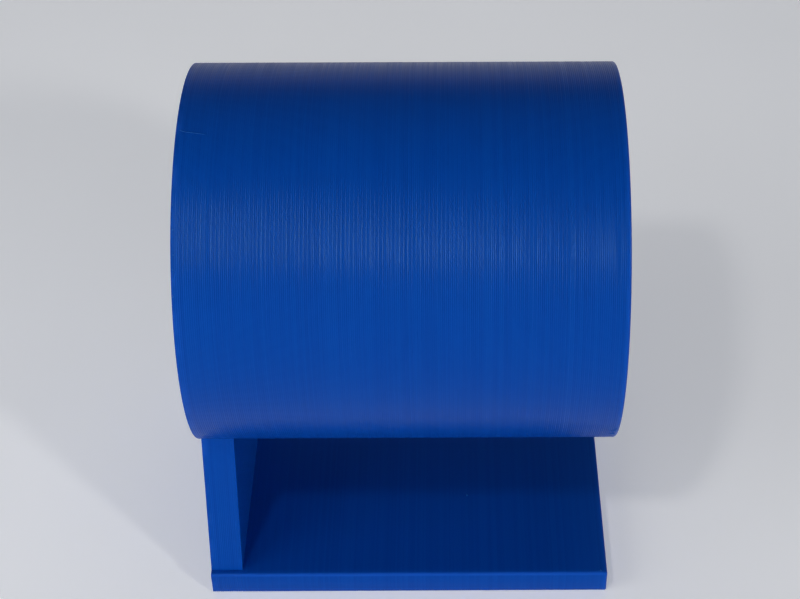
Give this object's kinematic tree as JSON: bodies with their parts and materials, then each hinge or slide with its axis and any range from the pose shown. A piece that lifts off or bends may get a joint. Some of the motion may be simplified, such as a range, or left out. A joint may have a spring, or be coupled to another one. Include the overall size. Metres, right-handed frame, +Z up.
{
  "type": "watch stand",
  "caption": "Printed plastic stand that holds a closed wrist strap on a hollow round drum, carried at one end by a side plate on a flat base.",
  "frame": {"origin": "on the table, under the middle of the part's box, which is the middle of the base", "axes": "+X along the drum from the side plate to the free end, +Z up, and -Y is the front"},
  "size_m": [0.066, 0.06, 0.082],
  "materials": {
    "blue_plastic": "printed in fine layers across the drum, satin to glossy"
  },
  "bodies": {
    "root": {"stand_body": "blue_plastic"}
  },
  "joints": []
}
